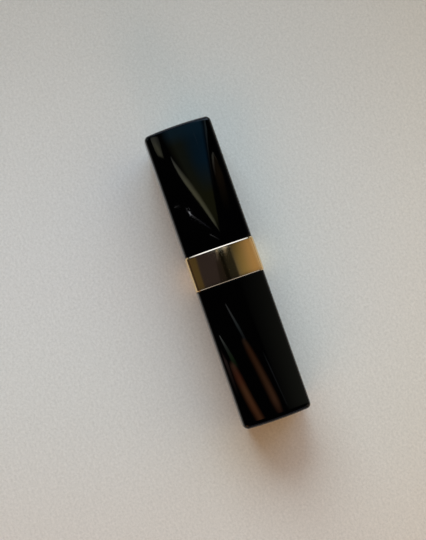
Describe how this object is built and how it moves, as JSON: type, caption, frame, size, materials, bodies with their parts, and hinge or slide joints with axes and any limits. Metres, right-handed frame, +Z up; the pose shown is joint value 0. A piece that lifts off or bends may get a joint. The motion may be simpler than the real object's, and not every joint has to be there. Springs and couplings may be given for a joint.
{
  "type": "lipstick",
  "caption": "Closed swivel lipstick in a square black lacquered case with crowned faces and a polished gold band; pull-off cap, twist-up bullet.",
  "frame": {"origin": "middle of the closed lipstick's bounding box, on the surface that it lies on", "axes": "+X along the stick from the base end to the cap end, +Z up, +Y across to complete a right-handed frame"},
  "size_m": [0.0798, 0.0192, 0.0192],
  "materials": {
    "black_lacquer": "black piano lacquer, mirror gloss",
    "gold_metal": "polished, anodised gold",
    "black_moulding": "satin moulded",
    "white_moulding": "natural acetal, as moulded",
    "weight_steel": "turned, tumbled",
    "ring_silicone": "satin",
    "lip_wax": "satin wax, moulded and flamed",
    "label_paper": "coated paper, plain"
  },
  "bodies": {
    "base": {"base_shell": "black_lacquer", "base_insert": "black_moulding", "base_weight": "weight_steel", "base_label": "label_paper", "collar_band": "gold_metal", "inner_body": "black_moulding", "drag_ring": "ring_silicone"},
    "sleeve": {"cam_sleeve": "white_moulding", "sleeve_cover": "gold_metal"},
    "carrier": {"cup": "gold_metal", "bullet": "lip_wax"},
    "cap": {"cap_shell": "black_lacquer", "cap_liner": "black_moulding"}
  },
  "joints": [
    {"name": "sleeve_twist", "type": "hinge", "parent": "base", "child": "sleeve", "pos_m": [0, 0, 0.0096], "axis": [-1, 0, 0], "range_deg": [0, 450]},
    {"name": "bullet_rise", "type": "slide", "parent": "base", "child": "carrier", "axis": [1, 0, 0], "range_m": [0, 0.02001]},
    {"name": "cap_slide", "type": "slide", "parent": "sleeve", "child": "cap", "axis": [1, 0, 0], "range_m": [0, 0.04]}
  ],
  "couplings": [
    {"joint": "bullet_rise", "follows": "sleeve_twist", "m_per_rad": 0.0025465}
  ]
}
